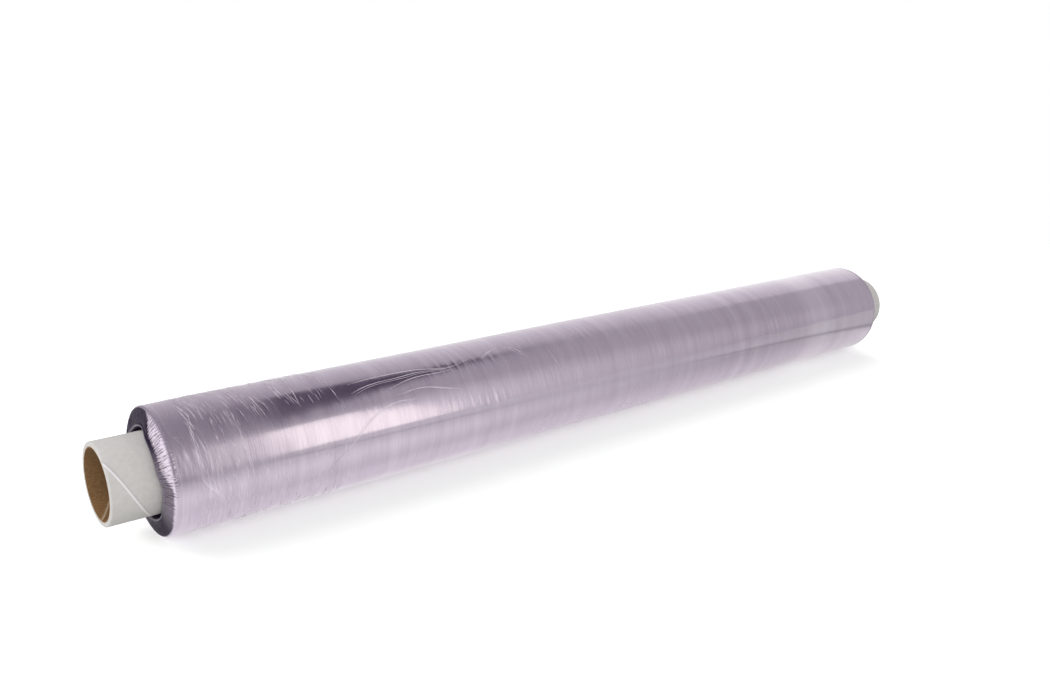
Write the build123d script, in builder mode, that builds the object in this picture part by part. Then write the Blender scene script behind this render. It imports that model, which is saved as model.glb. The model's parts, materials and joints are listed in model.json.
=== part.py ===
"""Catering roll of cling film, lying on its side along X, in millimetres.

A spiral-wound cardboard core with a brown kraft liner carries the wound film. The core stands
out of the film at both ends. The roll rests on the small flat spot that its own weight gives it.
"""

import os

from build123d import *

# Driving dimensions
film_width = 450.0  # width of the film, along the roll
wound_thickness = 9.75  # film on the core, from the first turn to the last
flat_spot_width = 7.5  # where the soft roll rests on the table

core_diameter = 33.0  # outside of the cardboard tube
core_wall = 2.3  # whole wall, liner included
core_overhang = 20.0  # tube standing out of the film at each end
core_edge_break = 0.3  # knife-cut rims, slightly rubbed
liner_thickness = 0.4  # inner kraft ply

ply_pitch = 55.6  # advance of the spiral plies in one turn
seam_width = 0.7  # butt joint between two turns of a ply
cover_seam_depth = 0.3
liner_seam_depth = 0.15
cover_seam_lead = 6.6  # how far before the tube's end the cover ply's seam passes its top
liner_seam_lead = 26.8

# The film's end faces
gap_width = 1.6  # inner turns flaring away from the core
gap_depth = 5.0
lip_height = 1.6  # inner turns standing out past the film's nominal width
lip_thickness = 1.4
lip_edge_radius = 0.5
rim_radius = 1.0  # rounded outer edge
rim_limit = 0.8  # most of the end face that the rounding may take
turn_spacing = 1.1  # bunched turns that show as ridges
turn_groove = 0.5  # side of the square notch between two ridges

# Values that follow from them
core_radius = core_diameter / 2
film_radius = core_radius + wound_thickness
bore_radius = core_radius - core_wall
liner_radius = bore_radius + liner_thickness
core_length = film_width + 2 * core_overhang
half_film = film_width / 2
lip_inner_radius = core_radius + gap_width
lip_outer_radius = lip_inner_radius + lip_thickness
face_height = film_radius - lip_outer_radius
rim_fillet = min(rim_radius, rim_limit * face_height)
ridge_count = int((face_height - rim_fillet) / turn_spacing)
axis_height = (film_radius**2 - (flat_spot_width / 2) ** 2) ** 0.5
roll_axis = Axis((0, 0, axis_height), (1, 0, 0))
section_plane = Plane(origin=(0, 0, axis_height), x_dir=(1, 0, 0), z_dir=(0, -1, 0))
end_plane = Plane(origin=(-core_length / 2, 0, axis_height), x_dir=(0, 1, 0), z_dir=(1, 0, 0))


def cut_ply_seam(radius, lead, depth):
    """Cuts the V where a spiral ply meets itself, for one turn of its helix at each end of the tube.

    A positive depth cuts towards the roll's axis, a negative one away from it.
    """
    first_turn = -core_length / 2 - lead
    last_turn = first_turn + int((core_length + lead) / ply_pitch) * ply_pitch
    for start in (first_turn, last_turn):
        with BuildLine() as seam:
            Helix(ply_pitch, ply_pitch, radius, center=(start, 0, axis_height), direction=(1, 0, 0))
        with BuildSketch(Plane(origin=seam.line @ 0, x_dir=(0, 0, 1), z_dir=seam.line % 0)) as notch:
            with BuildLine():
                Polyline((-depth, 0), (depth, seam_width), (depth, -seam_width), close=True)
            make_face()
        sweep(sections=notch.sketch, path=seam.line, is_frenet=True, mode=Mode.SUBTRACT)


# Cardboard tube: white-faced board plies, with the cover ply's spiral seam outside
with BuildPart() as core_tube:
    with BuildSketch(end_plane):
        Circle(core_radius)
        Circle(liner_radius, mode=Mode.SUBTRACT)
    extrude(amount=core_length)
    rims = core_tube.edges().filter_by(GeomType.CIRCLE).filter_by(lambda edge: edge.radius > liner_radius)
    chamfer(rims, core_edge_break)
    cut_ply_seam(core_radius, cover_seam_lead, cover_seam_depth)

# Kraft liner: the tube's innermost ply, with its own seam in the bore
with BuildPart() as core_liner:
    with BuildSketch(end_plane):
        Circle(liner_radius)
        Circle(bore_radius, mode=Mode.SUBTRACT)
    extrude(amount=core_length)
    cut_ply_seam(bore_radius, liner_seam_lead, -liner_seam_depth)

# Wound film: one solid of turns, with flared inner turns, ridged end faces and rounded rims
with BuildPart() as film_roll:
    with BuildSketch(section_plane):
        with BuildLine():
            FilletPolyline(
                (0, core_radius),
                (-half_film + gap_depth, core_radius),
                (-half_film - lip_height, lip_inner_radius),
                (-half_film - lip_height, lip_outer_radius),
                (-half_film, film_radius),
                (0, film_radius),
                radius=[0, lip_edge_radius, lip_edge_radius, rim_fillet],
            )
            Line((0, film_radius), (0, core_radius))
        make_face()
        for turn in range(1, ridge_count + 1):
            share = turn * turn_spacing / face_height
            with Locations((-half_film - lip_height * (1 - share), lip_outer_radius + share * face_height)):
                Rectangle(turn_groove, turn_groove, rotation=45, mode=Mode.SUBTRACT)
        mirror(about=Plane.YZ)
    revolve(axis=roll_axis)
    split(bisect_by=Plane.XY, keep=Keep.TOP)

os.makedirs("parts", exist_ok=True)
for name, piece in (("core_tube", core_tube), ("core_liner", core_liner), ("film_roll", film_roll)):
    piece.part.label = name
    export_step(piece.part, f"parts/{name}.step")
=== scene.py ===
"""Looks of the cling film roll: wound film, spiral cardboard core, studio floor, light and camera."""

import json
import math

import bmesh
import bpy
import numpy as np
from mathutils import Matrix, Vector


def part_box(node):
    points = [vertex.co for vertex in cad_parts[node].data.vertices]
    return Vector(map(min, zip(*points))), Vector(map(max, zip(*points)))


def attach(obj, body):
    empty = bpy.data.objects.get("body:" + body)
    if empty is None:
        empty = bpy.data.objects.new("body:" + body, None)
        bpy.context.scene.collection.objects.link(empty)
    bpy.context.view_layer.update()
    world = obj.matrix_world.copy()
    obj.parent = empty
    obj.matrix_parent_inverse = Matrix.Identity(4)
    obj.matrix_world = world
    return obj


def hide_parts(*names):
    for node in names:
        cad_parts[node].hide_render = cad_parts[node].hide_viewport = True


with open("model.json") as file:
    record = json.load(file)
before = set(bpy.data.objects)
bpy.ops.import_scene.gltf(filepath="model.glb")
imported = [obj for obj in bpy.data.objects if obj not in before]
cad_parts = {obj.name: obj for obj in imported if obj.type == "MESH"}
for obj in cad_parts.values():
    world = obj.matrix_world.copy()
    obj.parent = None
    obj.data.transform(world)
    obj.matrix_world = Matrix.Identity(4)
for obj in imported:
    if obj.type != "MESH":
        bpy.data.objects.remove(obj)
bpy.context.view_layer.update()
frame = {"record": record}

MM = 0.001
FULL_TURN = 2 * math.pi

# Sizes that the frame gives, in metres
bore = next(mount for mount in frame["record"]["mounts"] if mount["name"] == "core_bore")
film_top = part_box("film_roll")[1]
tube_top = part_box("core_tube")[1]
liner_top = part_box("core_liner")[1]
AXIS_HEIGHT = bore["pos_m"][2]
BORE_RADIUS = bore["dims"]["r_mm"] * MM
FILM_RADIUS = film_top.z - AXIS_HEIGHT
CORE_RADIUS = tube_top.y
LINER_RADIUS = liner_top.y
HALF_CORE = tube_top.x

# The film's end faces, as on the solid
LIP_HEIGHT = 1.6 * MM  # inner turns standing out of the face
HALF_FILM = film_top.x - LIP_HEIGHT
GAP_WIDTH = 1.6 * MM  # between the core and the flared inner turns
GAP_DEPTH = 5.0 * MM
LIP_THICKNESS = 1.4 * MM
LIP_ROUNDING = 0.5 * MM
RIM_RADIUS = 1.0 * MM
LIP_INNER = CORE_RADIUS + GAP_WIDTH
LIP_OUTER = LIP_INNER + LIP_THICKNESS

# How the wound film is split into pieces
EDGE_BAND = 2.6 * MM  # wound surface that is modelled with the end face
END_DEPTH = 7.0 * MM  # how far an end reaches into the roll
TUCK = 0.3 * MM  # how far an end goes under the outer turns
WRAP_DEPTH = 2.0 * MM  # how far the outer turns are modelled inwards
SINK = 0.1 * MM  # the outer turns lie this much inside the solid, so their wrinkles stay in its box
OUTER_LIMIT = FILM_RADIUS - 0.03 * MM  # nothing on the film stands further out
SKIN = 0.1 * MM  # a vertex this close to a surface belongs to it
EDGE_TAPER = 0.15 * MM  # the roll thins a little towards its edges
TAPER_LENGTH = 25 * MM

# Outer turns
OUTER_CUTS = 730  # divisions along the roll
OUTER_STEPS = 132  # divisions round it
RING_HEIGHT = 0.01 * MM  # soft rings where turns were wound tighter
RING_SPACING = 16 * MM
WRINKLE_HEIGHT = 0.01 * MM  # wrinkles pulled round the roll
WRINKLE_SPACING = 3.2 * MM
WRINKLE_LENGTH = 30 * MM
WRINKLE_LEAN = 0.15
GATHER_SPACING = 60 * MM  # stretches with more wrinkles, and with fewer
GATHER_LENGTH = 40 * MM

# Places along the roll where the film looks different, and the slant of its streaks in radians
NEAR_HAZE_AT = -206 * MM
MIDDLE_HAZE_AT = -5 * MM
PALE_RING_AT = 168 * MM
STREAK_SLANT = (0, 0.06, -0.05)

# Ends of the film. A pull, or a painted highlight on the face, is an angle and a half width in degrees, and
# a strength.
END_STEPS = 300
END_RING_CUTS = 2  # every step of the turn is cut again, which is faster than more steps
RIM_POINTS = 7
FLARE_HEIGHT = 1.9 * MM  # how much further the inner turns stand out where the face is pulled
CRINKLE_HEIGHT = 0.13 * MM
PLEATS = ((73, 0.4), (109, 0.6), (149, 0.8), (181, 0.6), (41, 0.3))  # how many go round, and how high
NEAR_PULLS = [(140, 54, 1.0), (192, 42, 0.28), (320, 40, 0.5), (25, 35, 0.4)]
FAR_PULLS = [(175, 60, 0.6), (300, 45, 0.6), (30, 50, 0.9)]
NEAR_FACE_HIGHLIGHTS = [(182, 56, 0.42)]
FAR_FACE_HIGHLIGHTS = [(210, 60, 0.4)]

# Creases in the last turn, as (mm along the roll, degrees round it) points and a half width in mm
CREASES = [
    ([(-167, 230), (-160, 197), (-150, 176), (-140, 159), (-129, 149), (-117, 149)], 0.28),
    ([(-144, 120), (-131, 118), (-111, 119.5), (-95, 125), (-83, 120)], 0.22),
    ([(-145.5, 131), (-137, 126), (-120.5, 124), (-110, 123), (-95, 126)], 0.22),
    ([(-128, 134), (-115, 128), (-103, 128), (-93.5, 128)], 0.2),
    ([(-76, 124), (-68, 115), (-59.5, 115), (-54, 123), (-52.5, 131)], 0.22),
    ([(-38, 131), (-37, 145), (-36, 158)], 0.2),
    ([(-125, 142), (-113, 140), (-102, 145.5), (-95, 149.5)], 0.2),
    ([(-220, 134), (-218, 146)], 0.25),
    ([(-214, 128), (-213, 144)], 0.25),
    ([(-199, 119), (-196, 137)], 0.25),
    ([(-216, 166), (-213, 180), (-208.5, 191.5), (-205, 208)], 0.25),
]
CREASE_SECTIONS = 8  # pieces of a crease between two of its points
CREASE_SHARE = 0.45  # thickness of a crease's main line
STRAND_COUNT = 2  # finer lines beside it
STRAND_SHARES = (0.18, 0.36)
STRAND_ASIDE = 0.8  # how far beside, in mm and in degrees
STRAND_SHAKE = (0.2, 0.3)  # unevenness along the roll in mm, and round it in degrees
TIP_SHARE = 0.2  # thickness at a line's two ends
CREASE_LIFT = 0.04 * MM  # how far over the film a crease's middle lies
CREASE_FLATNESS = 0.4  # height of a crease for its half width

# Hairlines pulled round the roll at the near end, in mm along it and degrees round it
HAIRLINE_COUNT = 1150
HAIRLINE_SECTIONS = 3
HAIRLINE_START = -215
HAIRLINE_REACH = 63
HAIRLINE_LENGTHS = (6, 20)
HAIRLINE_WIDTHS = (0.05, 0.12)
SMOOTH_FROM = -195  # from here on none crosses the bright strip, where the film lies smooth
SMOOTH_ANGLE = 152
SMOOTH_HALF_WIDTH = 24

# The core's spiral plies
CORE_STEPS = 256
LINER_STEPS = 280
LINER_SEEN = 45 * MM  # as deep as anyone looks into the bore
PLY_PITCH = 55.6 * MM
SEAM_WIDTH = 0.7 * MM
SEAM_DEPTH = 0.1 * MM
COVER_SEAM_LEAD = 6.6 * MM
LINER_SEAM_LEAD = 26.8 * MM
RIM_RUB = 0.3 * MM  # rubbed edge of the cut tube

PVC_IOR = 1.53
PAPER_IOR = 1.45


def linear(hex_code):
    """An sRGB hex colour as linear RGBA."""
    parts = [int(hex_code[i : i + 2], 16) / 255 for i in (1, 3, 5)]
    return [p / 12.92 if p <= 0.04045 else ((p + 0.055) / 1.055) ** 2.4 for p in parts] + [1.0]


def add(tree, kind, inputs=None, **settings):
    """Adds a node with its settings and links.

    An input is a value, a socket to link, or a node whose result is linked. Inputs 0, 6 and 7 of a
    colour Mix node are its factor and its two colours.
    """
    node = tree.nodes.new(kind)
    for name, value in settings.items():
        setattr(node, name, value)
    for socket, value in (inputs or {}).items():
        if isinstance(value, bpy.types.Node):
            value = next(result for result in value.outputs if result.enabled)
        if isinstance(value, bpy.types.NodeSocket):
            tree.links.new(value, node.inputs[socket])
        else:
            node.inputs[socket].default_value = value
    return node


def new_material(name):
    """A material with an empty node tree; returns both and its output node."""
    material = bpy.data.materials.new(name)
    material.use_nodes = True
    material.node_tree.nodes.clear()
    return material, material.node_tree, material.node_tree.nodes.new("ShaderNodeOutputMaterial")


def per_mm(x, y, z):
    """Scale of a pattern on Object coordinates whose features have these sizes in millimetres."""
    return (1 / (x * MM), 1 / (y * MM), 1 / (z * MM))


# Mesh making


def is_along_ring(edge):
    """Whether an edge of a turned shape runs round the axis."""
    first, second = (Vector((v.co.x, math.hypot(v.co.y, v.co.z - AXIS_HEIGHT))) for v in edge.verts)
    return (first - second).length < 0.001 * MM


def spun_ring(points, cuts, steps, ring_cuts=0):
    """Turns a closed profile of (x, radius) points round the roll's axis.

    The profile's sides are divided by cuts, and every step of the turn by ring_cuts.
    """
    shape = bmesh.new()
    corners = [shape.verts.new((x, 0, AXIS_HEIGHT + radius)) for x, radius in points]
    sides = [shape.edges.new(ends) for ends in zip(corners, corners[1:] + corners[:1])]
    for side, count in zip(sides, cuts):
        if count:
            bmesh.ops.subdivide_edges(shape, edges=[side], cuts=count)
    bmesh.ops.spin(
        shape,
        geom=shape.verts[:] + shape.edges[:],
        cent=(0, 0, AXIS_HEIGHT),
        axis=(1, 0, 0),
        angle=FULL_TURN,
        steps=steps,
        use_merge=True,
    )
    if ring_cuts:
        rings = [edge for edge in shape.edges if is_along_ring(edge)]
        bmesh.ops.subdivide_edges(shape, edges=rings, cuts=ring_cuts, use_grid_fill=True)
    bmesh.ops.recalc_face_normals(shape, faces=shape.faces)
    return shape


def mesh_of(name, shape):
    """The mesh of a finished bmesh."""
    mesh = bpy.data.meshes.new(name)
    shape.to_mesh(mesh)
    shape.free()
    return mesh


def place_piece(name, mesh, material, node):
    """Puts a mesh into the scene as a smooth piece that stands for a node of the frame."""
    mesh.shade_smooth()
    mesh.set_sharp_from_angle(angle=math.radians(60))
    mesh.materials.append(material)
    piece = bpy.data.objects.new(name, mesh)
    bpy.context.collection.objects.link(piece)
    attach(piece, "root")
    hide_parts(node)


def roll_places(mesh):
    """Every vertex as x, radius and angle round the axis: 0 at the back, a quarter turn at the top."""
    places = np.empty(len(mesh.vertices) * 3)
    mesh.vertices.foreach_get("co", places)
    places = places.reshape(-1, 3)
    y, z = places[:, 1], places[:, 2] - AXIS_HEIGHT
    return places[:, 0].copy(), np.hypot(y, z), np.arctan2(z, y)


def move_to(mesh, x, radius, angle):
    """Writes such places back, pressed flat where the roll rests."""
    z = np.maximum(AXIS_HEIGHT + radius * np.sin(angle), 0)
    mesh.vertices.foreach_set("co", np.column_stack([x, radius * np.cos(angle), z]).ravel())
    mesh.update()


def paint(mesh, name, values):
    """Stores one number per vertex for a material to read."""
    layer = mesh.attributes.new(name, "FLOAT", "POINT")
    layer.data.foreach_set("value", np.asarray(values, dtype=np.float32))


def ease(value, low, high):
    """Smooth step from 0 at low to 1 at high."""
    t = np.clip((value - low) / (high - low), 0, 1)
    return t * t * (3 - 2 * t)


def around(angle, centre, half_width):
    """1 at an angle in degrees, easing to 0 at half_width degrees to each side."""
    away = np.abs((np.degrees(angle) - centre + 180) % 360 - 180)
    return 1 - ease(away, 0.3 * half_width, half_width)


def strongest(angle, spots):
    """How strong the strongest of some (angle, half width, strength) spots is at each angle."""
    total = np.zeros_like(angle)
    for centre, half_width, strength in spots:
        total = np.maximum(total, strength * around(angle, centre, half_width))
    return total


def random_waves(x, y, z, spacing, length, count, seed, lean=0.0):
    """Wrinkles of about unit size, about spacing apart along the roll and length long across it."""
    draw = np.random.default_rng(seed)
    total = np.zeros_like(x)
    for _ in range(count):
        along = FULL_TURN / (spacing * draw.uniform(0.6, 1.6))
        across = draw.normal(0, FULL_TURN / length, 2)
        shift = draw.uniform(0, FULL_TURN)
        total += np.cos(along * (x + lean * z) + across[0] * y + across[1] * z + shift)
    return total * math.sqrt(2 / count)


def tapered(x):
    """How much smaller the wound film is at a place along the roll."""
    return EDGE_TAPER * ease(np.abs(x), HALF_FILM - TAPER_LENGTH, HALF_FILM)


# Materials


def band_round_roll(tree, along, centre, near, far, inside, outside):
    """A value that is inside up to near from a place along the roll, and eases to outside at far."""
    distance = add(tree, "ShaderNodeMath", {0: along, 1: centre}, operation="SUBTRACT")
    distance = add(tree, "ShaderNodeMath", {0: distance}, operation="ABSOLUTE")
    return add(
        tree,
        "ShaderNodeMapRange",
        {"Value": distance, "From Min": near, "From Max": far, "To Min": inside, "To Max": outside},
        interpolation_type="SMOOTHSTEP",
    )


def film_material():
    """Cast PVC film, stretched over many turns.

    Every turn mirrors a little, so the stack shines like a dim violet metal. Fine pulled streaks run
    round the roll and smear the reflections. The near end and the middle are hazier than the smooth
    stretches beside them. The far end is paler, most of all in one ring.
    """
    material, tree, output = new_material("pvc_film_wound")
    place = add(tree, "ShaderNodeTexCoord").outputs["Object"]
    along = add(tree, "ShaderNodeSeparateXYZ", {0: place}).outputs["X"]

    # Haze: cloudy all over, and thicker at the near end and in the middle
    cloud = add(tree, "ShaderNodeMapping", {"Vector": place, "Scale": per_mm(10, 28, 28)})
    cloud = add(tree, "ShaderNodeTexNoise", {"Vector": cloud, "Scale": 1.0, "Detail": 2.0})
    near_haze = band_round_roll(tree, along, NEAR_HAZE_AT, 8 * MM, 34 * MM, inside=0.15, outside=0.0)
    middle_haze = band_round_roll(tree, along, MIDDLE_HAZE_AT, 30 * MM, 105 * MM, inside=0.2, outside=0.08)
    haze = add(tree, "ShaderNodeMath", {0: middle_haze, 1: near_haze}, operation="ADD")
    rough = add(tree, "ShaderNodeMath", {0: cloud, 1: 0.12, 2: haze}, operation="MULTIPLY_ADD")

    # Streaks, slanting a little, deeper where the film is hazy
    fine = add(
        tree,
        "ShaderNodeMapping",
        {"Vector": place, "Rotation": STREAK_SLANT, "Scale": per_mm(0.6, 9, 9)},
    )
    fine = add(tree, "ShaderNodeTexNoise", {"Vector": fine, "Scale": 1.0, "Detail": 2.0})
    streak = add(
        tree,
        "ShaderNodeMapRange",
        {"Value": haze, "From Min": 0.08, "From Max": 0.2, "To Min": 0.4, "To Max": 1.0},
    )
    bump = add(tree, "ShaderNodeBump", {"Height": fine, "Strength": streak, "Distance": 0.02 * MM})

    # Colour: streaks and rings of slightly thicker film, and the paler far end
    rings = add(tree, "ShaderNodeMath", {0: along, 1: 1 / (7 * MM)}, operation="MULTIPLY")
    rings = add(tree, "ShaderNodeTexNoise", {"W": rings, "Scale": 1.0, "Detail": 3.0}, noise_dimensions="1D")
    tone = add(tree, "ShaderNodeMath", {0: fine, 1: 0.9, 2: rings}, operation="MULTIPLY_ADD")
    tone = add(tree, "ShaderNodeMapRange", {"Value": tone, "From Min": 0.45, "From Max": 1.45})
    colour = add(
        tree,
        "ShaderNodeMix",
        {0: tone, 6: linear("#B2A5B5"), 7: linear("#C7BBC9")},
        data_type="RGBA",
    )
    pale_ring = band_round_roll(tree, along, PALE_RING_AT, 5 * MM, 16 * MM, inside=0.28, outside=0.0)
    pale_end = add(
        tree,
        "ShaderNodeMapRange",
        {"Value": along, "From Min": 151 * MM, "From Max": 157 * MM, "To Min": 0.0, "To Max": 0.2},
        interpolation_type="SMOOTHSTEP",
    )
    pale = add(tree, "ShaderNodeMath", {0: pale_ring, 1: pale_end}, operation="ADD")
    colour = add(tree, "ShaderNodeMix", {0: pale, 6: colour, 7: linear("#DBD1DC")}, data_type="RGBA")
    shader = add(
        tree,
        "ShaderNodeBsdfPrincipled",
        {"Base Color": colour, "Metallic": 0.9, "Roughness": rough, "IOR": PVC_IOR, "Normal": bump},
    )
    tree.links.new(shader.outputs[0], output.inputs[0])
    return material


def film_edge_material():
    """Edges of the wound PVC film.

    Seen end-on the turns swallow light and look dark violet, with fine rings. Where the last turns
    curl over the rim or are pulled over the face, they shine like the film itself. They are paler where
    pulled, on the inner turns' crest and on the face's lit side, partly as painted highlight.
    """
    material, tree, output = new_material("pvc_film_edges")
    place = add(tree, "ShaderNodeTexCoord").outputs["Object"]

    # Rings of the turns' edges; a turn is too thin to show, so each ring stands for some forty
    centred = add(tree, "ShaderNodeMapping", {"Vector": place, "Location": (0, 0, -AXIS_HEIGHT)})
    parts = add(tree, "ShaderNodeSeparateXYZ", {0: centred})
    radius = add(tree, "ShaderNodeCombineXYZ", {"Y": parts.outputs["Y"], "Z": parts.outputs["Z"]})
    radius = add(tree, "ShaderNodeVectorMath", {0: radius}, operation="LENGTH")
    turns = add(tree, "ShaderNodeMath", {0: radius, 1: 1 / (0.4 * MM)}, operation="MULTIPLY")
    turns = add(tree, "ShaderNodeTexNoise", {"W": turns, "Scale": 1.0, "Detail": 2.0}, noise_dimensions="1D")
    edge = add(
        tree,
        "ShaderNodeMix",
        {0: turns, 6: linear("#190F22"), 7: linear("#2D2138")},
        data_type="RGBA",
    )
    bump = add(tree, "ShaderNodeBump", {"Height": turns, "Strength": 0.5, "Distance": 0.15 * MM})

    # Shining film, paler where it is pulled over the face: partly stretched film, partly painted highlight
    shine = add(tree, "ShaderNodeAttribute", attribute_name="shine").outputs["Fac"]
    stretch_and_highlight = add(tree, "ShaderNodeAttribute", attribute_name="stretch_and_highlight").outputs["Fac"]
    shining = add(
        tree,
        "ShaderNodeMix",
        {0: stretch_and_highlight, 6: linear("#BCB0BF"), 7: linear("#CDC1D0")},
        data_type="RGBA",
    )
    colour = add(tree, "ShaderNodeMix", {0: shine, 6: edge, 7: shining}, data_type="RGBA")
    metal = add(tree, "ShaderNodeMapRange", {"Value": shine, "To Min": 0.0, "To Max": 0.88})
    rough = add(tree, "ShaderNodeMapRange", {"Value": shine, "To Min": 0.5, "To Max": 0.24})
    shader = add(
        tree,
        "ShaderNodeBsdfPrincipled",
        {
            "Base Color": colour,
            "Metallic": metal,
            "Specular IOR Level": 0.06,
            "Roughness": rough,
            "IOR": PVC_IOR,
            "Normal": bump,
        },
    )
    tree.links.new(shader.outputs[0], output.inputs[0])
    return material


def crease_material():
    """Cast PVC film pinched into creases: stretched pale, with a painted highlight, so it reads light like a
    white hair.
    """
    material, tree, output = new_material("pvc_film_creased_highlit")
    place = add(tree, "ShaderNodeTexCoord").outputs["Object"]
    strain = add(tree, "ShaderNodeMapping", {"Vector": place, "Scale": per_mm(4, 4, 4)})
    strain = add(tree, "ShaderNodeTexNoise", {"Vector": strain, "Scale": 1.0, "Detail": 1.0})
    colour = add(
        tree,
        "ShaderNodeMix",
        {0: strain, 6: linear("#C8BDCB"), 7: linear("#EEE6EF")},
        data_type="RGBA",
    )
    shader = add(
        tree,
        "ShaderNodeBsdfPrincipled",
        {"Base Color": colour, "Metallic": 0.35, "Roughness": 0.4, "IOR": PVC_IOR},
    )
    tree.links.new(shader.outputs[0], output.inputs[0])
    return material


def paper_material(name, dark, light, seam_pale_edge_highlight, seam_painted_shade, grain, roughness):
    """Matt paper: mottled fibres of a grain in millimetres, and the pale cut edge of a ply at its seam,
    partly a painted highlight, with painted shade beside it.
    """
    material, tree, output = new_material(name)
    place = add(tree, "ShaderNodeTexCoord").outputs["Object"]
    mottle_scale = per_mm(5 * grain, 4 * grain, 4 * grain)
    mottle = add(tree, "ShaderNodeMapping", {"Vector": place, "Scale": mottle_scale})
    mottle = add(tree, "ShaderNodeTexNoise", {"Vector": mottle, "Scale": 1.0, "Detail": 4.0})
    grit = add(tree, "ShaderNodeMapping", {"Vector": place, "Scale": per_mm(grain, grain, grain)})
    grit = add(tree, "ShaderNodeTexNoise", {"Vector": grit, "Scale": 1.0, "Detail": 2.0})
    tone = add(tree, "ShaderNodeMath", {0: mottle, 1: grit}, operation="ADD")
    tone = add(tree, "ShaderNodeMapRange", {"Value": tone, "From Min": 0.7, "From Max": 1.3})
    colour = add(tree, "ShaderNodeMix", {0: tone, 6: linear(dark), 7: linear(light)}, data_type="RGBA")

    # Above 0 the seam is the ply's pale cut edge, partly a painted highlight; below 0 it is painted shade
    # beside it
    seam = add(tree, "ShaderNodeAttribute", attribute_name="seam").outputs["Fac"]
    colour = add(tree, "ShaderNodeMix", {0: seam, 6: colour, 7: linear(seam_pale_edge_highlight)}, data_type="RGBA")
    shade = add(tree, "ShaderNodeMath", {0: seam, 1: -1.0}, operation="MULTIPLY", use_clamp=True)
    colour = add(tree, "ShaderNodeMix", {0: shade, 6: colour, 7: linear(seam_painted_shade)}, data_type="RGBA")
    bump = add(tree, "ShaderNodeBump", {"Height": grit, "Strength": 0.5, "Distance": 0.06 * MM})
    shader = add(
        tree,
        "ShaderNodeBsdfPrincipled",
        {"Base Color": colour, "Roughness": roughness, "IOR": PAPER_IOR, "Normal": bump},
    )
    tree.links.new(shader.outputs[0], output.inputs[0])
    return material


# Pieces


def wrap_outer_turns(material):
    """The outer turns between the two wound edges, with the wrinkles that the stretched film pulls."""
    start = HALF_FILM - EDGE_BAND
    inner = FILM_RADIUS - WRAP_DEPTH
    outline = [(-start, inner), (-start, FILM_RADIUS), (start, FILM_RADIUS), (start, inner)]
    mesh = mesh_of("film_outer_turns", spun_ring(outline, [0, OUTER_CUTS, 0, 0], OUTER_STEPS))
    x, radius, angle = roll_places(mesh)
    outside = radius > FILM_RADIUS - SKIN
    y, z = radius * np.cos(angle), radius * np.sin(angle)
    rings = random_waves(x, 0 * y, 0 * z, RING_SPACING, 1.0, count=12, seed=11)
    wrinkles = random_waves(
        x, y, z, WRINKLE_SPACING, WRINKLE_LENGTH, count=40, seed=12, lean=WRINKLE_LEAN
    )
    gathers = random_waves(x, y, z, GATHER_SPACING, GATHER_LENGTH, count=12, seed=13)
    gathers = np.clip(0.5 + 0.5 * gathers, 0.2, 1.5)

    # One stretch of the near half lies smooth, and the far half is calmer than the near one
    smooth_stretch = ease(x, -185 * MM, -165 * MM) * (1 - ease(x, -112 * MM, -95 * MM))
    far_half = ease(x, -40 * MM, 10 * MM)
    gathers = gathers * (1 - 0.8 * smooth_stretch) * (1 - 0.5 * far_half)
    raised = RING_HEIGHT * rings + WRINKLE_HEIGHT * wrinkles * gathers
    radius = radius + np.where(outside, raised, 0) - tapered(x) - SINK
    move_to(mesh, x, np.minimum(radius, OUTER_LIMIT), angle)
    place_piece("film_outer_turns", mesh, material, "film_roll")


def draw_line(drawing, points, thickness, sections):
    """Adds a smooth line with thin tips through (mm along, degrees round) points of the unrolled film."""
    line = drawing.splines.new("BEZIER")
    line.resolution_u = sections
    line.bezier_points.add(len(points) - 1)
    for spot, (along, turned) in zip(line.bezier_points, points):
        spot.co = (along * MM, math.radians(turned) * FILM_RADIUS, 0)
        spot.handle_left_type = "AUTO"
        spot.handle_right_type = "AUTO"
        spot.radius = thickness
    line.bezier_points[0].radius = TIP_SHARE * thickness
    line.bezier_points[-1].radius = TIP_SHARE * thickness


def draw_creases(drawing, draw):
    """Each crease is one line, with finer strands beside it."""
    for points, thickness in CREASES:
        draw_line(drawing, points, CREASE_SHARE * thickness, CREASE_SECTIONS)
        for _ in range(STRAND_COUNT):
            aside = draw.normal(0, STRAND_ASIDE, 2)
            strand = []
            for along, turned in points:
                moved = along + aside[0] + draw.normal(0, STRAND_SHAKE[0])
                strand.append((moved, turned + aside[1] + draw.normal(0, STRAND_SHAKE[1])))
            draw_line(drawing, strand, draw.uniform(*STRAND_SHARES) * thickness, CREASE_SECTIONS)


def draw_hairlines(drawing, draw):
    """Short fine lines all round the near end, thinning out towards the middle of the roll."""
    for _ in range(HAIRLINE_COUNT):
        along = HAIRLINE_START + HAIRLINE_REACH * draw.uniform() ** 1.5
        turned = draw.uniform(0, 360)
        length = draw.uniform(*HAIRLINE_LENGTHS)
        lean = draw.normal(0.06, 0.05) * length
        bow = draw.normal(0, 0.012) * length
        thickness = draw.uniform(*HAIRLINE_WIDTHS)
        middle = turned + length / 2
        points = [(along, turned), (along + lean / 2 + bow, middle), (along + lean, turned + length)]
        on_smooth_film = along > SMOOTH_FROM and abs(middle - SMOOTH_ANGLE) < SMOOTH_HALF_WIDTH
        if not on_smooth_film:
            draw_line(drawing, points, thickness, HAIRLINE_SECTIONS)


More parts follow.
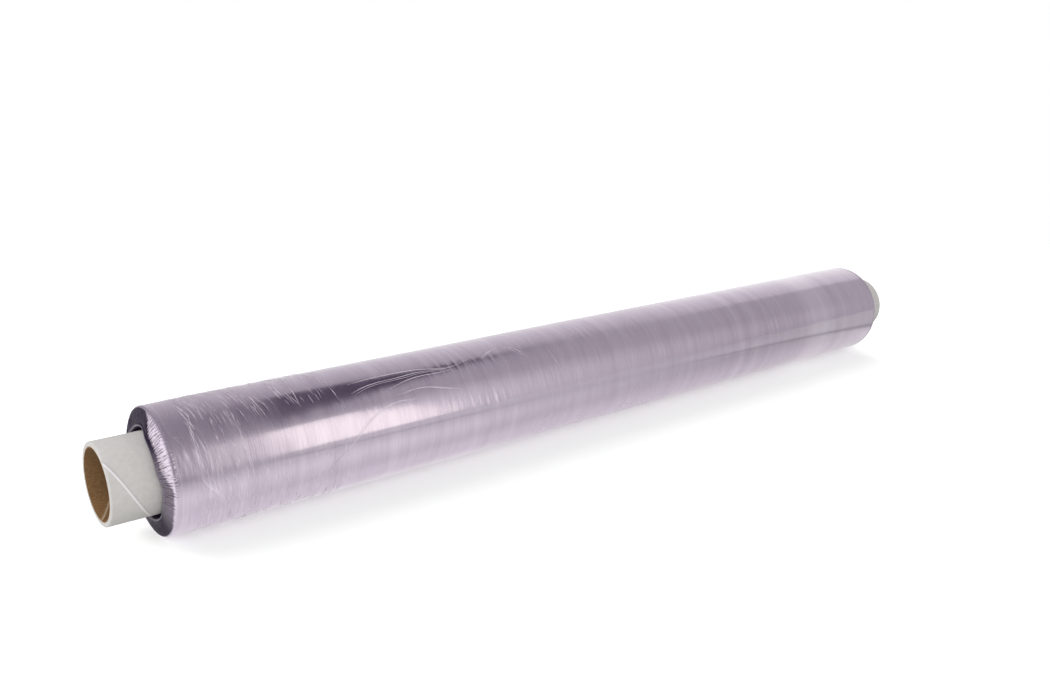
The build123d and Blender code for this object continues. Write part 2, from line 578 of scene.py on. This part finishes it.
def pinch_creases(material):
    """Creases pinched up in the last turn, and many short hairlines pulled round the roll.

    Each is a thin bevelled curve drawn on the unrolled film, then rolled up and pressed nearly flat.
    """
    drawing = bpy.data.curves.new("film_creases", "CURVE")
    drawing.dimensions = "3D"
    drawing.bevel_depth = 1.0 * MM
    drawing.bevel_resolution = 1
    drawing.use_fill_caps = True
    draw = np.random.default_rng(31)
    draw_creases(drawing, draw)
    draw_hairlines(drawing, draw)
    unrolled = bpy.data.objects.new("film_creases", drawing)
    mesh = bpy.data.meshes.new_from_object(unrolled)
    bpy.data.objects.remove(unrolled)

    flat = np.empty(len(mesh.vertices) * 3)
    mesh.vertices.foreach_get("co", flat)
    x, girth, height = flat.reshape(-1, 3).T
    radius = FILM_RADIUS - SINK + CREASE_LIFT + CREASE_FLATNESS * height - tapered(x)
    move_to(mesh, x, np.minimum(radius, OUTER_LIMIT), girth / FILM_RADIUS)
    place_piece("film_creases", mesh, material, "film_roll")


def pleats(angle, inset, depth, seed):
    """Uneven pleats round an end, of about unit height, slanting and breaking up down its face."""
    draw = np.random.default_rng(seed)
    total = np.zeros_like(angle)
    for count, size in PLEATS:
        shift = draw.uniform(0, FULL_TURN)
        wander = 1.2 * np.sin(angle * draw.integers(5, 9) + draw.uniform(0, FULL_TURN))
        slant = draw.uniform(0.1, 0.6) * (inset - depth) / MM
        broken = 0.7 + 0.5 * np.sin(depth / MM * draw.uniform(1.2, 2.6) + 3 * wander)
        total += size * broken * np.sin(angle * count + shift + wander + slant)
    return total


def turn_film_end(name, side):
    """The plain turned shape of one end: flared inner turns, gap, face, rounded rim and a band of film."""
    back = HALF_FILM - END_DEPTH
    rim_turn = [
        (HALF_FILM - RIM_RADIUS * (1 - math.sin(turn)), FILM_RADIUS - RIM_RADIUS * (1 - math.cos(turn)))
        for turn in np.linspace(math.pi / 2, 0, RIM_POINTS)
    ]
    outline = [
        (back, CORE_RADIUS),
        (HALF_FILM - GAP_DEPTH, CORE_RADIUS),
        (HALF_FILM + LIP_HEIGHT - LIP_ROUNDING, LIP_INNER),
        (HALF_FILM + LIP_HEIGHT, LIP_INNER + LIP_ROUNDING),
        (HALF_FILM + LIP_HEIGHT, LIP_OUTER - LIP_ROUNDING),
        (HALF_FILM + LIP_HEIGHT - LIP_ROUNDING, LIP_OUTER),
        *rim_turn,
        (HALF_FILM - EDGE_BAND, FILM_RADIUS),
        (HALF_FILM - EDGE_BAND - TUCK, FILM_RADIUS - TUCK),
        (back, FILM_RADIUS - TUCK),
    ]
    # Most divisions go to the face, and some to the flare and the band of film
    cuts = [0, 8, 1, 1, 1, 24] + [1] * (RIM_POINTS - 1) + [8, 0, 0, 0]
    outline = [(side * x, radius) for x, radius in outline]
    return mesh_of(name, spun_ring(outline, cuts, END_STEPS, END_RING_CUTS))


def wind_film_edge(name, material, side, pulls, face_highlights, seed):
    """One end of the wound film, with a dark face of turn edges.

    Where the last turns are pulled over the face it is domed and crinkled, and shines. Elsewhere the
    face_highlights paint highlights: they make the face partly shiny and lighter where light falls on it.
    """
    mesh = turn_film_end(name, side)
    x, radius, angle = roll_places(mesh)
    inset = HALF_FILM - side * x
    depth = FILM_RADIUS - radius
    down_face = np.clip(depth / (FILM_RADIUS - LIP_OUTER), 0, 1)
    pull = strongest(angle, pulls)

    # Where the face is pulled it is domed, and the inner turns stand out further
    domed = (LIP_HEIGHT + FLARE_HEIGHT) * (1.6 * down_face - 0.6 * down_face**2) - LIP_HEIGHT * down_face
    inset = inset - pull * domed * (1 - ease(inset, 0, GAP_DEPTH))

    # Crinkles across the rim and the face
    teeth = pleats(angle, inset, depth, seed)
    on_cylinder = ease(inset, -0.3 * MM, RIM_RADIUS)
    reach = (1 - ease(down_face, 0.75, 1.0)) * (1 - ease(inset, 0.3 * MM, 1.7 * MM))
    crinkle = CRINKLE_HEIGHT * teeth * reach * (0.2 + 0.8 * pull)
    inset = inset - crinkle * (1 - on_cylinder)
    depth = depth - crinkle * on_cylinder
    radius = FILM_RADIUS - depth - (tapered(x) + SINK) * (1 - down_face)
    move_to(mesh, side * (HALF_FILM - inset), np.minimum(radius, OUTER_LIMIT), angle)

    # How far down the face the pulled film reaches, with flecks of the dark edges between its pleats
    edge_of_pull = 0.75 * pull + 0.06 * teeth
    pulled = 1 - ease(down_face, edge_of_pull - 0.15, edge_of_pull + 0.1)
    pulled = pulled * (pull > 0) * np.clip(1.02 + 0.4 * teeth, 0.35, 1.0)
    rim = 1 - ease(down_face, 0.03, 0.12)
    lip_ring = 1 - ease(np.abs(radius - LIP_INNER - LIP_ROUNDING), 0.2 * MM, 0.6 * MM)
    # Painted highlight: the inner turns' crest gets some shine and a lighter colour, on film folded over
    # there
    painted_lip_highlight = 0.3 * lip_ring * (inset < 0)
    # Painted highlight: partly shiny, lighter film where the light falls on the face
    painted_face_highlight = strongest(angle, face_highlights) * np.clip(0.8 + 0.35 * teeth, 0.3, 1.4) * (inset < RIM_RADIUS)
    paint(mesh, "shine", np.clip(np.maximum.reduce([pulled, rim, painted_lip_highlight, painted_face_highlight]), 0, 1))
    # Where pulled the film is paler: stretched, and a painted highlight on the face's lit side
    paint(mesh, "stretch_and_highlight", pulled * (1 - on_cylinder))
    place_piece(name, mesh, material, "film_roll")


def helix_distance(x, radius, angle, lead):
    """Signed distance from a ply's seam, which passes the top at lead before the tube's end."""
    passed = (angle / FULL_TURN - 0.25) * PLY_PITCH - HALF_CORE - lead
    along = (x - passed + PLY_PITCH / 2) % PLY_PITCH - PLY_PITCH / 2
    girth = FULL_TURN * radius
    return along * girth / math.hypot(PLY_PITCH, girth)


def seam_highlight_and_shade(distance):
    """1 on the pale cut edge of a ply, partly a painted highlight; below 0 in the painted shade beside it.
    """
    pale = np.exp(-(((distance + 0.35 * SEAM_WIDTH) / (0.45 * SEAM_WIDTH)) ** 2))
    shaded = np.exp(-(((distance - 0.55 * SEAM_WIDTH) / (0.45 * SEAM_WIDTH)) ** 2))
    return pale - 0.4 * shaded


def wind_core(material):
    """The cardboard tube, with the cover ply's spiral seam on both stubs."""
    stub = HALF_CORE - HALF_FILM + GAP_DEPTH
    outline = [
        (-HALF_CORE, LINER_RADIUS),
        (-HALF_CORE, CORE_RADIUS - RIM_RUB),
        (-HALF_CORE + RIM_RUB, CORE_RADIUS),
        (-HALF_CORE + stub, CORE_RADIUS),
        (HALF_CORE - stub, CORE_RADIUS),
        (HALF_CORE - RIM_RUB, CORE_RADIUS),
        (HALF_CORE, CORE_RADIUS - RIM_RUB),
        (HALF_CORE, LINER_RADIUS),
    ]
    mesh = mesh_of("core_board_tube", spun_ring(outline, [7, 1, 90, 0, 90, 1, 7, 0], CORE_STEPS))
    x, radius, angle = roll_places(mesh)
    distance = helix_distance(x, CORE_RADIUS, angle, COVER_SEAM_LEAD)
    groove = SEAM_DEPTH * np.clip(1 - np.abs(distance) / (SEAM_WIDTH / 2), 0, 1)
    outside = radius > CORE_RADIUS - RIM_RUB / 2
    # The seam is painted: the ply's pale edge with a painted highlight, and painted shade beside it
    paint(mesh, "seam", np.where(outside, seam_highlight_and_shade(distance), 0))
    move_to(mesh, x, np.where(outside, radius - groove, radius), angle)
    place_piece("core_board_tube", mesh, material, "core_tube")


def line_core(material):
    """The kraft lining inside the tube, with its own spiral seam."""
    outline = [
        (-HALF_CORE, BORE_RADIUS),
        (-HALF_CORE, LINER_RADIUS),
        (HALF_CORE, LINER_RADIUS),
        (HALF_CORE, BORE_RADIUS),
        (HALF_CORE - LINER_SEEN, BORE_RADIUS),
        (-HALF_CORE + LINER_SEEN, BORE_RADIUS),
    ]
    mesh = mesh_of("core_kraft_liner", spun_ring(outline, [1, 0, 1, 130, 1, 130], LINER_STEPS))
    x, radius, angle = roll_places(mesh)
    distance = helix_distance(x, BORE_RADIUS, angle, LINER_SEAM_LEAD)
    inside = (radius < BORE_RADIUS + SKIN) & (np.abs(x) > HALF_CORE - LINER_SEEN + 1 * MM)
    # The seam is painted: the ply's pale edge with a painted highlight, and painted shade beside it
    paint(mesh, "seam", np.where(inside, seam_highlight_and_shade(distance), 0))
    place_piece("core_kraft_liner", mesh, material, "core_liner")


film = film_material()
film_edges = film_edge_material()
# Creases and hairlines: pale film, partly a painted highlight
creased_and_highlit = crease_material()
# White-lined recycled board, wound and knife-cut: pale grey, matt, with a soft mottle
board = paper_material(
    "white_lined_board",
    dark="#C3C0BC",
    light="#CDCAC7",
    seam_pale_edge_highlight="#F2ECF0",
    seam_painted_shade="#9C979B",
    grain=0.45,
    roughness=0.85,
)
# Brown kraft paper, glued as the innermost ply: matt, with darker fibres and pale specks
kraft = paper_material(
    "kraft_paper_liner",
    dark="#795838",
    light="#997851",
    seam_pale_edge_highlight="#CDBB9E",
    seam_painted_shade="#4E3822",
    grain=0.2,
    roughness=0.8,
)

wrap_outer_turns(film)
pinch_creases(creased_and_highlit)
wind_film_edge("film_near_end", film_edges, side=-1, pulls=NEAR_PULLS, face_highlights=NEAR_FACE_HIGHLIGHTS, seed=21)
wind_film_edge("film_far_end", film_edges, side=1, pulls=FAR_PULLS, face_highlights=FAR_FACE_HIGHLIGHTS, seed=22)
wind_core(board)
line_core(kraft)

# Studio, in metres

FLOOR_RADIUS = 0.8
FADE_START = 0.35  # from here on the floor fades into the white surround
ROLL_END = 0.216  # past this distance from the roll's middle the floor is lifted further
DARK_LINE_NORMAL = (-0.287, 0.958, 0)  # across the painted dark line that the film mirrors, towards the roll
DARK_LINE_OFFSET = 0.113  # from the dark line to the middle of the roll
DARK_LINE_BLUR = (-0.008, 0.014)  # over which the table changes from dim to bright
SPILL_WAY = (0.42, -0.87, 0.25)  # direction in which the strip light's spill is brightest


def mirrored_table(tree, place):
    """What the film mirrors of the table: how much it glows, and how dark its coat is.

    It glows brightest close to the roll and on the left: painted light. A painted dark line crosses it
    slantwise in front of the roll. Beyond the line it glows dimly, with a painted dark patch on the left.
    """
    parts = add(tree, "ShaderNodeSeparateXYZ", {0: place})
    x = parts.outputs["X"]
    y = parts.outputs["Y"]

    # This side of the dark line, painted light: in front of the roll, and under it
    left = add(
        tree,
        "ShaderNodeMapRange",
        {"Value": x, "From Min": -0.1, "From Max": 0.14, "To Min": 0.5, "To Max": 0.0},
    )
    left_end = add(
        tree,
        "ShaderNodeMapRange",
        {"Value": x, "From Min": -0.2, "From Max": -0.15, "To Min": 0.05, "To Max": 0.38},
    )
    ahead = add(
        tree,
        "ShaderNodeMapRange",
        {"Value": y, "From Min": -0.1, "From Max": -0.055, "To Min": left_end},
    )
    ahead = add(tree, "ShaderNodeMath", {0: left, 1: ahead}, operation="MULTIPLY")
    under = add(tree, "ShaderNodeMath", {0: left, 1: 0.32, 2: 0.48}, operation="MULTIPLY_ADD")
    under = add(
        tree,
        "ShaderNodeMapRange",
        {"Value": y, "From Min": -0.055, "From Max": -0.024, "To Max": under},
    )
    near = add(tree, "ShaderNodeMath", {0: ahead, 1: under}, operation="MAXIMUM")

    # Beyond the dark line, painted light: brightest in the middle
    across = add(tree, "ShaderNodeMath", {0: y, 1: 0.36, 2: x}, operation="MULTIPLY_ADD")
    far_left = add(
        tree,
        "ShaderNodeMapRange",
        {"Value": across, "From Min": -0.22, "From Max": -0.1, "To Min": 0.0, "To Max": 0.16},
    )
    far_right = add(
        tree,
        "ShaderNodeMapRange",
        {"Value": x, "From Min": 0.1, "From Max": 0.27, "To Min": 0.16, "To Max": 0.04},
    )
    far = add(tree, "ShaderNodeMath", {0: far_left, 1: far_right}, operation="MINIMUM")
    from_dark_line = add(tree, "ShaderNodeVectorMath", {0: place, 1: DARK_LINE_NORMAL}, operation="DOT_PRODUCT")
    from_dark_line = add(tree, "ShaderNodeMath", {0: from_dark_line, 1: DARK_LINE_OFFSET}, operation="ADD")
    dark_line_range = {"Value": from_dark_line, "From Min": DARK_LINE_BLUR[0], "From Max": DARK_LINE_BLUR[1]}
    glow = add(tree, "ShaderNodeMapRange", {**dark_line_range, "To Min": far, "To Max": near})

    # Painted shade that only the film mirrors: the dark line, deeper on the left, and the dark patch
    to_dark_line = add(tree, "ShaderNodeMath", {0: from_dark_line}, operation="ABSOLUTE")
    dark_line_depth = add(
        tree,
        "ShaderNodeMapRange",
        {"Value": x, "From Min": -0.1, "From Max": 0.15, "To Min": 0.75, "To Max": 0.34},
    )
    dark_line_shade = add(
        tree,
        "ShaderNodeMapRange",
        {"Value": to_dark_line, "From Min": 0.002, "From Max": 0.009, "To Min": dark_line_depth, "To Max": 0.0},
        interpolation_type="SMOOTHSTEP",
    )
    dark_patch_shade = add(
        tree,
        "ShaderNodeMapRange",
        {"Value": across, "From Min": -0.24, "From Max": -0.15, "To Min": 0.65, "To Max": 0.0},
    )
    dark_patch_shade = add(tree, "ShaderNodeMapRange", {**dark_line_range, "To Min": dark_patch_shade, "To Max": 0.0})
    shade = add(tree, "ShaderNodeMath", {0: dark_line_shade, 1: dark_patch_shade}, operation="MAXIMUM")
    lit_share = add(tree, "ShaderNodeMath", {0: 1.0, 1: shade}, operation="SUBTRACT")
    glow = add(tree, "ShaderNodeMath", {0: glow, 1: lit_share}, operation="MULTIPLY")
    return glow, shade


def table_material():
    """White paint, rolled on the table: matt, with hardly any colour.

    To the camera it is lifted to white, most of all past the roll's ends, and fades into the surround.
    The extra lift to the right and past the ends is painted light that lightens the roll's shadow there.
    Mirrored in the film it looks as mirrored_table says.
    """
    material, tree, output = new_material("white_paint_rolled")
    place = add(tree, "ShaderNodeTexCoord").outputs["Object"]
    along = add(tree, "ShaderNodeSeparateXYZ", {0: place}).outputs["X"]
    away = add(tree, "ShaderNodeVectorMath", {0: place}, operation="LENGTH")
    path = add(tree, "ShaderNodeLightPath")
    to_camera = path.outputs["Is Camera Ray"]
    to_film = path.outputs["Is Glossy Ray"]

    # The coat, darkened with painted shade only where the film mirrors the dark line and patch, and its lift
    mirrored_glow, mirrored_shade = mirrored_table(tree, place)
    shade = add(tree, "ShaderNodeMath", {0: mirrored_shade, 1: to_film}, operation="MULTIPLY")
    coat = add(
        tree,
        "ShaderNodeMix",
        {0: shade, 6: linear("#E4E7E3"), 7: linear("#2E2E30")},
        data_type="RGBA",
    )
    mirrored = add(tree, "ShaderNodeMath", {0: mirrored_glow, 1: to_film}, operation="MULTIPLY")
    seen = add(
        tree,
        "ShaderNodeMath",
        {0: to_camera, 1: path.outputs["Is Transmission Ray"]},
        operation="MAXIMUM",
    )
    # Painted light for the camera: the lift grows to the right and past the roll's ends, lightening the
    # shadow there
    lift = add(
        tree,
        "ShaderNodeMapRange",
        {"Value": along, "From Min": -0.1, "From Max": 0.15, "To Min": 0.34, "To Max": 0.4},
    )
    painted_light_past_ends = add(
        tree,
        "ShaderNodeMapRange",
        {"Value": away, "From Min": ROLL_END, "From Max": ROLL_END + 0.02, "To Max": 0.27},
        interpolation_type="SMOOTHSTEP",
    )
    lift = add(tree, "ShaderNodeMath", {0: lift, 1: painted_light_past_ends}, operation="ADD")
    glow = add(tree, "ShaderNodeMath", {0: seen, 1: lift, 2: mirrored}, operation="MULTIPLY_ADD")
    table = add(
        tree,
        "ShaderNodeBsdfPrincipled",
        {
            "Base Color": coat,
            "Roughness": 0.9,
            "Emission Color": linear("#FFFFFF"),
            "Emission Strength": glow,
        },
    )

    # The fade into the surround
    clear = add(tree, "ShaderNodeBsdfTransparent")
    fade = add(
        tree,
        "ShaderNodeMapRange",
        {"Value": away, "From Min": FADE_START, "From Max": FLOOR_RADIUS},
        interpolation_type="SMOOTHSTEP",
    )
    fade = add(tree, "ShaderNodeMath", {0: fade, 1: to_camera}, operation="MULTIPLY")
    blend = add(tree, "ShaderNodeMixShader", {0: fade, 1: table, 2: clear})
    tree.links.new(blend.outputs[0], output.inputs[0])
    return material


def make_floor():
    """A pale round table top that keeps the roll's shadow."""
    shape = bmesh.new()
    bmesh.ops.create_circle(shape, cap_ends=True, radius=FLOOR_RADIUS, segments=96)
    mesh = mesh_of("floor", shape)
    mesh.materials.append(table_material())
    floor = bpy.data.objects.new("floor", mesh)
    bpy.context.collection.objects.link(floor)


def make_world():
    """A white surround for the camera.

    All else sees a studio: a bright wall behind and to the right, a grey panel to the right and front
    with the strip light's spill, a grey wall on the left with a bright window in it, and a dark ceiling
    between them. Its limits are parts of a unit direction, so the room has no size.
    """
    world = bpy.data.worlds.new("studio")
    bpy.context.scene.world = world
    world.use_nodes = True
    tree = world.node_tree
    tree.nodes.clear()
    look = add(tree, "ShaderNodeTexCoord").outputs["Generated"]
    way = add(tree, "ShaderNodeSeparateXYZ", {0: look})
    x = way.outputs["X"]
    y = way.outputs["Y"]

    # The wall behind, up to the ceiling's edge
    wall = add(tree, "ShaderNodeMath", {0: x, 1: 1.09, 2: -0.19}, operation="MULTIPLY_ADD")
    wall = add(tree, "ShaderNodeMath", {0: y, 1: 0.61, 2: wall}, operation="MULTIPLY_ADD", use_clamp=True)
    lean = add(
        tree,
        "ShaderNodeMapRange",
        {"Value": x, "From Min": 0.43, "From Max": 0.55, "To Min": -0.06, "To Max": 0.12},
    )
    ceiling = add(
        tree,
        "ShaderNodeMath",
        {0: way.outputs["Z"], 1: -0.25, 2: y},
        operation="MULTIPLY_ADD",
    )
    ceiling = add(tree, "ShaderNodeMath", {0: ceiling, 1: lean}, operation="ADD")
    ceiling = add(
        tree,
        "ShaderNodeMapRange",
        {"Value": ceiling, "From Min": -0.02, "From Max": 0.05},
        interpolation_type="SMOOTHSTEP",
    )
    wall = add(tree, "ShaderNodeMath", {0: wall, 1: ceiling}, operation="MULTIPLY")

    # The panel, with the strip light's spill
    panel = add(tree, "ShaderNodeMath", {0: y, 1: -0.31, 2: x}, operation="MULTIPLY_ADD")
    panel = add(
        tree,
        "ShaderNodeMapRange",
        {"Value": panel, "From Min": 0.53, "From Max": 0.6, "To Max": 0.5},
        interpolation_type="SMOOTHSTEP",
    )
    spill = add(tree, "ShaderNodeVectorMath", {0: look, 1: SPILL_WAY}, operation="DOT_PRODUCT")
    spill = add(
        tree,
        "ShaderNodeMapRange",
        {"Value": spill, "From Min": 0.85, "From Max": 0.98, "To Max": 0.28},
    )
    panel = add(tree, "ShaderNodeMath", {0: panel, 1: spill}, operation="ADD")

    # The left wall and its window
    left_wall = add(
        tree,
        "ShaderNodeMapRange",
        {"Value": x, "From Min": 0.42, "From Max": 0.31, "To Max": 0.38},
        interpolation_type="SMOOTHSTEP",
    )
    window = add(
        tree,
        "ShaderNodeMapRange",
        {"Value": x, "From Min": -0.6, "From Max": -0.8, "To Max": 1.3},
        interpolation_type="SMOOTHSTEP",
    )

    # The whole room, over the dark violet of its ceiling
    bright = add(tree, "ShaderNodeMath", {0: wall, 1: panel}, operation="MAXIMUM")
    bright = add(tree, "ShaderNodeMath", {0: bright, 1: left_wall}, operation="MAXIMUM")
    bright = add(tree, "ShaderNodeMath", {0: bright, 1: window}, operation="MAXIMUM")
    room = add(
        tree,
        "ShaderNodeMix",
        {0: bright, 6: (0.03, 0.012, 0.055, 1), 7: (1, 1, 1, 1)},
        data_type="RGBA",
        clamp_factor=False,
    )
    room = add(tree, "ShaderNodeBackground", {"Color": room, "Strength": 1.15})
    white = add(tree, "ShaderNodeBackground", {"Color": (1, 1, 1, 1), "Strength": 1.0})
    to_camera = add(tree, "ShaderNodeLightPath").outputs["Is Camera Ray"]
    surround = add(tree, "ShaderNodeMixShader", {0: to_camera, 1: room, 2: white})
    output = tree.nodes.new("ShaderNodeOutputWorld")
    tree.links.new(surround.outputs[0], output.inputs[0])


def softbox(name, place, target, size, radiance, colour=(1, 1, 1), mirrored=False):
    """A rectangular lamp at a place, aimed at a target, whose face has the given radiance."""
    lamp = bpy.data.lights.new(name, "AREA")
    lamp.shape = "RECTANGLE"
    lamp.size, lamp.size_y = size
    lamp.energy = 4 * size[0] * size[1] * radiance
    lamp.color = colour
    box = bpy.data.objects.new(name, lamp)
    box.location = place
    box.rotation_euler = (Vector(target) - Vector(place)).to_track_quat("-Z", "Y").to_euler()
    box.visible_glossy = mirrored
    bpy.context.collection.objects.link(box)


make_floor()
make_world()
# Only the strip light shows in the film; the other lamps light the core and cast the shadow
softbox(
    "strip_light",
    place=(0.383, -1.015, 0.39),
    target=(-0.14, -0.02, 0.39),
    size=(0.26, 1.02),
    radiance=0.81,
    colour=(0.994, 1.0, 0.835),
    mirrored=True,
)
softbox("top_light_left", place=(-0.65, 0.42, 0.8), target=(-0.1, 0, 0), size=(0.6, 0.6), radiance=2.1)
softbox("top_light_right", place=(0.65, 0.42, 0.8), target=(0.1, 0, 0), size=(0.6, 0.6), radiance=0.95)
softbox("fill_light", place=(-0.55, -0.75, 0.55), target=(-0.1, 0, 0), size=(0.8, 0.8), radiance=1.35)

# Camera, from a fit to the roll's outline and the core's end in the photograph
CAMERA_PLACE = (-0.34596, -0.37886, 0.17597)
CAMERA_TURN = 0.6811  # to the right of straight across the roll, in radians
CAMERA_DIP = 0.2668
CAMERA_LENS = 35.31

camera = bpy.data.cameras.new("camera")
camera.lens = CAMERA_LENS
camera.sensor_width = 36.0
camera.clip_start = 0.01
viewer = bpy.data.objects.new("camera", camera)
viewer.location = CAMERA_PLACE
viewer.rotation_euler = (math.pi / 2 - CAMERA_DIP, 0, -CAMERA_TURN)
bpy.context.collection.objects.link(viewer)
bpy.context.scene.camera = viewer
bpy.context.scene.view_settings.view_transform = "Standard"
